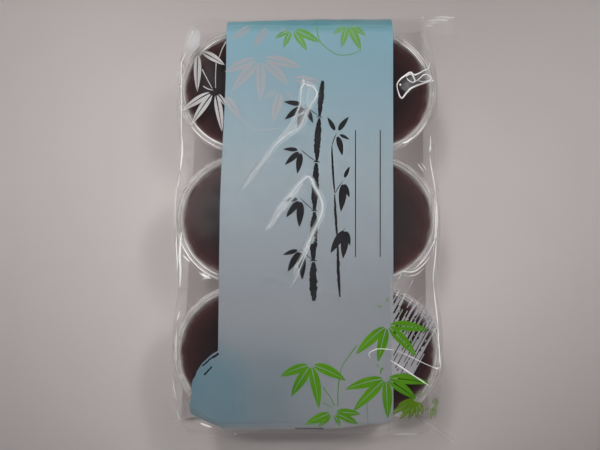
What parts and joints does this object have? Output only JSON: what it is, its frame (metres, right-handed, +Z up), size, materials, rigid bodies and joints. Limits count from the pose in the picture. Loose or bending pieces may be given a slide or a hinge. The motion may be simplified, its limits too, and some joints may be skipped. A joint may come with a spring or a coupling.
{
  "type": "film pack of mizu-yokan cups",
  "caption": "Flat sealed pack of round cups of soft red-bean yokan, wrapped in clear printed film with crimped end seals.",
  "frame": {"origin": "middle of the flat underside, below the middle of the cups", "axes": "+X across the pack, +Y along it towards the end with the flat loose corner, +Z up through the film over the cups"},
  "size_m": [0.1657, 0.245, 0.0266],
  "materials": {
    "film": "clear thin film, glossy, with creases",
    "print": "pale blue ink printed on the film's inner side",
    "leaves": "green ink of the printed bamboo leaves",
    "ink": "black ink of the printed motif and rules",
    "back_print": "pale panel printed on the back film",
    "cup": "natural translucent cup",
    "yokan": "smooth moist dark red-bean jelly"
  },
  "bodies": {
    "root": {"film_pack": "film"}
  },
  "joints": []
}
